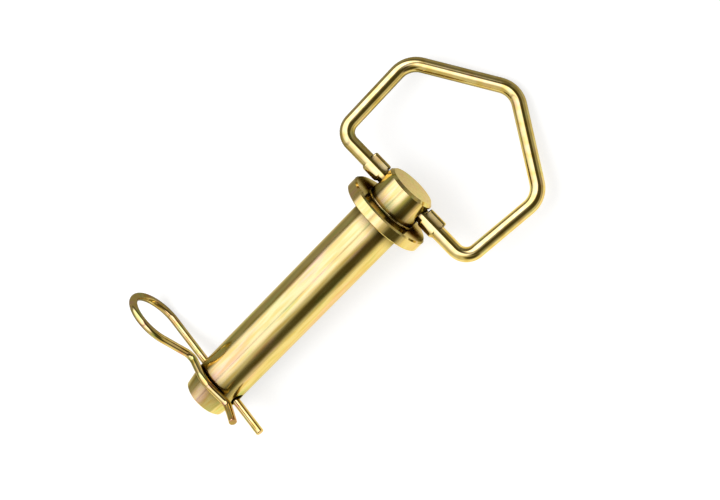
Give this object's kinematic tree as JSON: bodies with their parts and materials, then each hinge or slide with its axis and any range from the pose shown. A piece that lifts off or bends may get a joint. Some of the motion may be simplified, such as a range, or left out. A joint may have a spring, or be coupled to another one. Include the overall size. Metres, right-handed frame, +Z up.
{
  "type": "hitch pin",
  "caption": "Straight round pin with a collar, a swinging wire handle hinged across its head and a hairpin clip through its tapered tip.",
  "frame": {"origin": "centre of the collar's underside, on the pin's axis, about 22 mm above the floor it lies on", "axes": "+Z up from the floor the pin lies on, +X along the pin towards its handle (the pin's axis rises 4.44 degrees towards +X), +Y to the side the clip's loop is on"},
  "size_m": [0.216, 0.1081, 0.0442],
  "materials": {
    "pin": "turned steel, yellow zinc plated",
    "handle": "drawn steel wire, yellow zinc plated",
    "hairpin_clip": "spring steel wire, yellow zinc plated"
  },
  "bodies": {
    "pin": {"pin": "pin"},
    "handle": {"handle": "handle"},
    "clip": {"hairpin_clip": "hairpin_clip"}
  },
  "joints": [
    {"name": "handle_swing", "type": "hinge", "parent": "pin", "child": "handle", "pos_m": [0.01446, 0, 0.00112], "axis": [0, 1, 0], "range_deg": [-186.2, 145.8]},
    {"name": "clip_pull", "type": "slide", "parent": "pin", "child": "clip", "axis": [0.0194, 0.9681, -0.2496], "range_m": [0, 0.051], "deforming": ["hairpin_clip"]}
  ]
}
